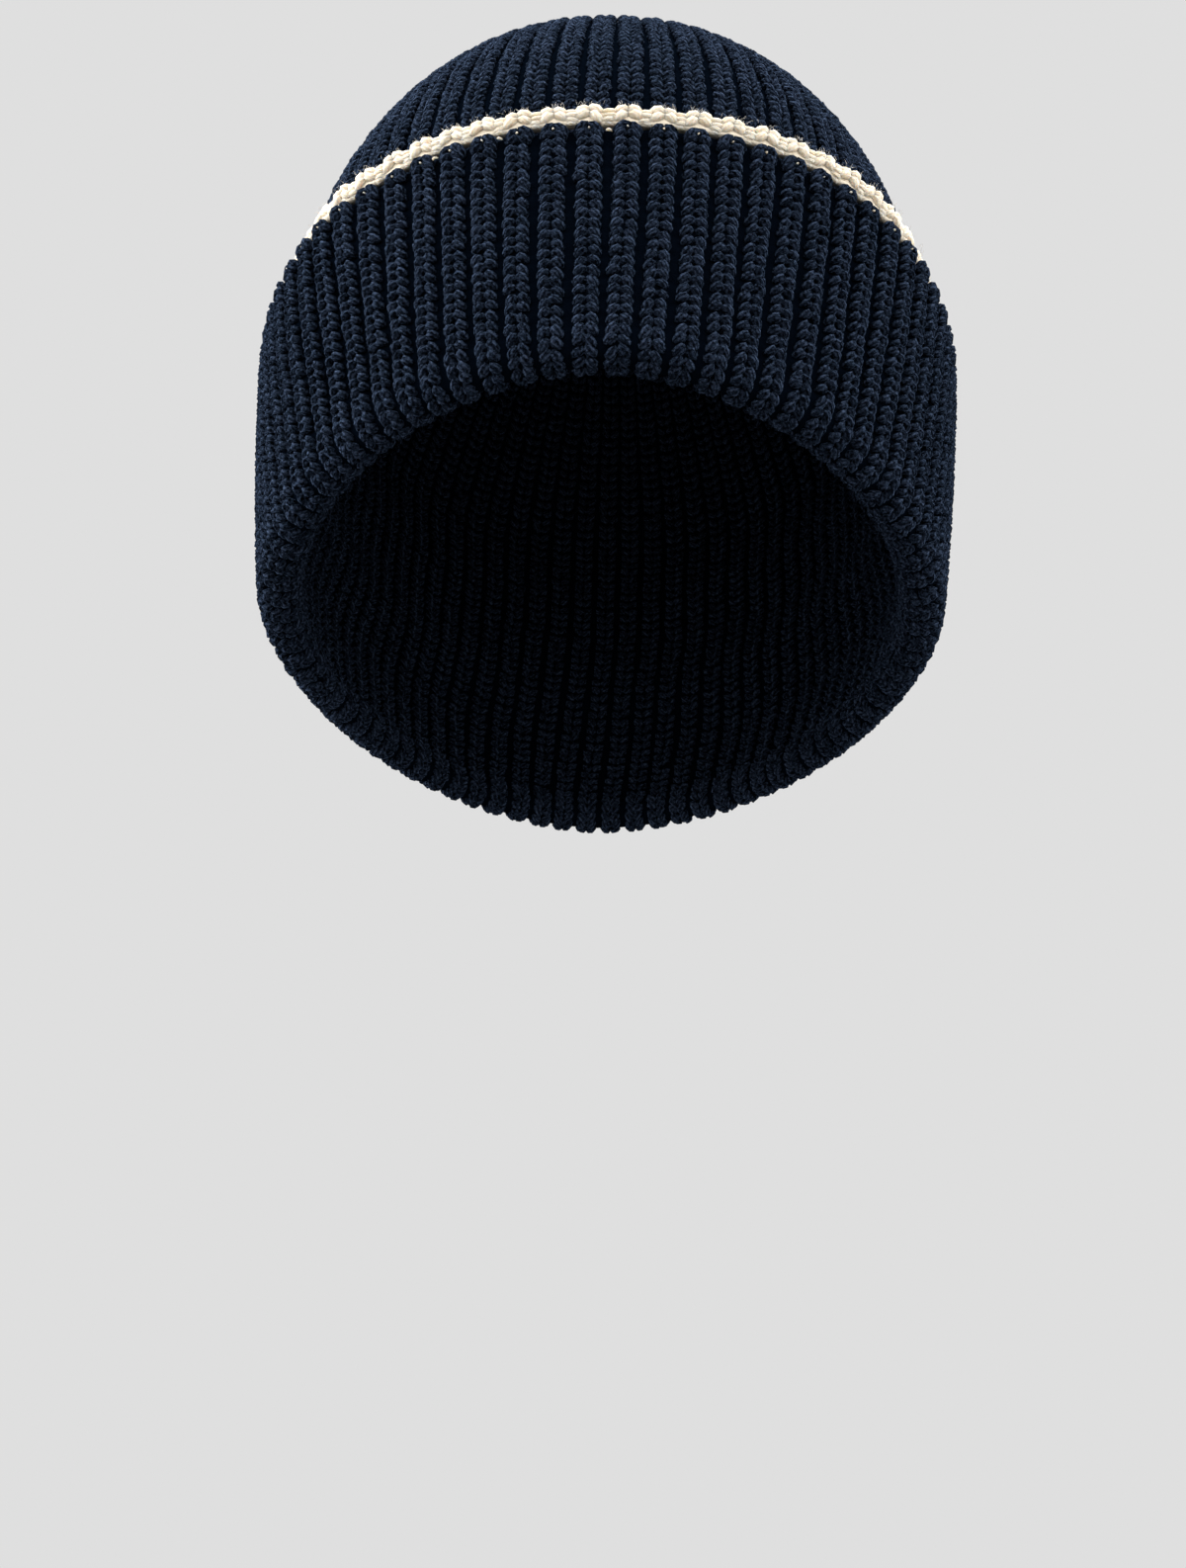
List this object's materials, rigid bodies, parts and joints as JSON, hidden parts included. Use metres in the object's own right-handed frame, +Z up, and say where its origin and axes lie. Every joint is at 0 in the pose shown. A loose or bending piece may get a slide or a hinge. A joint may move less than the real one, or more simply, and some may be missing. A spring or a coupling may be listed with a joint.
{
  "type": "ribbed cotton beanie",
  "caption": "Rib-knit cotton beanie with a turned-up cuff and a cream edge along the cuff's top, in the form it takes on a head.",
  "frame": {"origin": "centre of the opening for the head, level with the bottom of the cuff's roll", "axes": "+Z is up as the hat is worn, -Y is the front of the hat and +X is the wearer's left; the hat's own axis leans back from +Z by 34.8 degrees towards +Y"},
  "size_m": [0.1784, 0.2208, 0.2102],
  "materials": {
    "navy_cotton": "matt rib-knitted cotton yarn",
    "cream_cotton": "matt knitted cotton yarn"
  },
  "bodies": {
    "root": {"crown": "navy_cotton", "cuff": "navy_cotton", "cream_tipping": "cream_cotton"}
  },
  "joints": []
}
